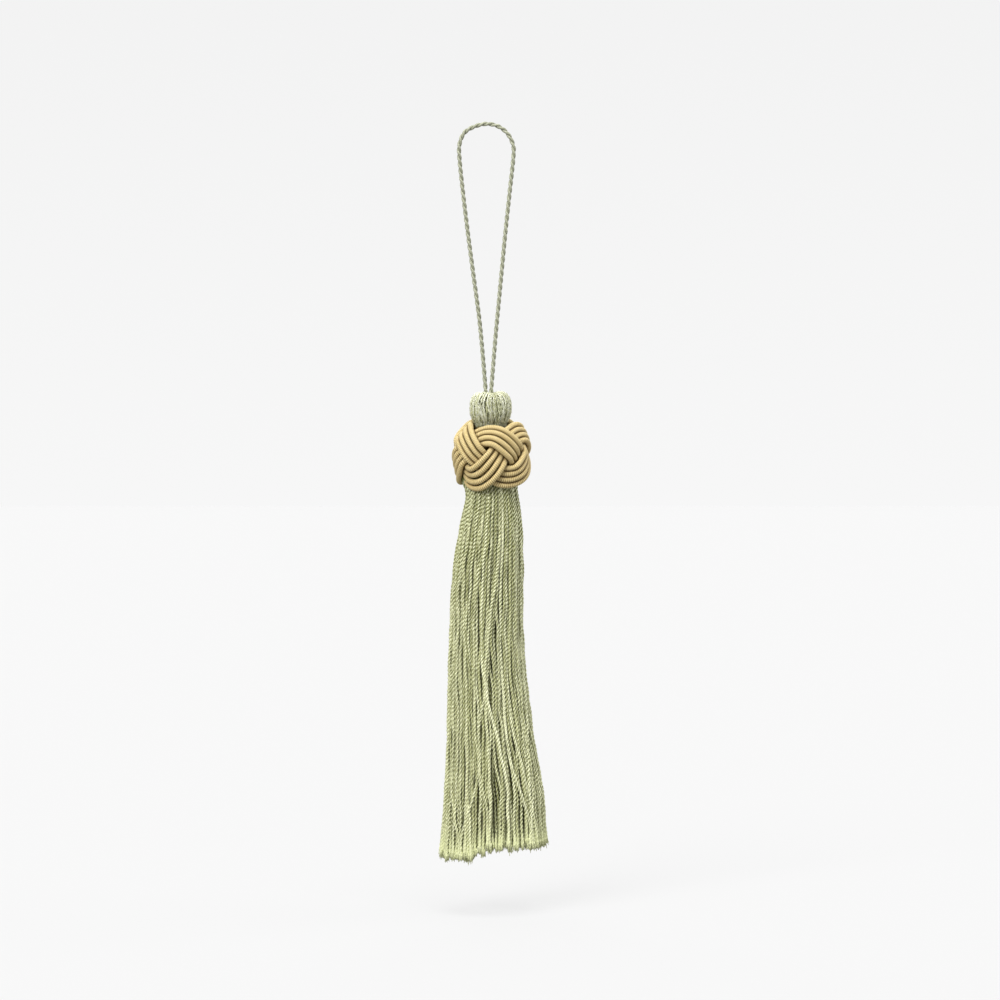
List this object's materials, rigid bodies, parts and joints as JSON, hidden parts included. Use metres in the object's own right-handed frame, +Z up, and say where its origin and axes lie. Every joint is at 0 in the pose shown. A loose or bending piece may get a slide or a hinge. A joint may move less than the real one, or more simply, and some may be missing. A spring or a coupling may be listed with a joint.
{
  "type": "hanging tassel",
  "caption": "Hanging tassel with a twisted cord loop, a head of wound yarn, a woven gold knot round the neck and a long skirt of twisted yarns.",
  "frame": {"origin": "hang point: underside of the cord loop's top arc, where a hook or knob carries it", "axes": "+Z up, against the hang of the tassel; -Y is the front; X runs across the open face of the loop"},
  "size_m": [0.0346, 0.0297, 0.2437],
  "materials": {
    "loop_cord_green": "satin twisted cord, sage green",
    "gimp_cord_gold": "satin wrapped gimp cord, old gold",
    "skirt_yarn_green": "satin two-ply yarn, sage green"
  },
  "bodies": {
    "root": {"hanging_loop": "loop_cord_green", "head_and_skirt": "skirt_yarn_green", "woven_knot": "gimp_cord_gold"}
  },
  "joints": []
}
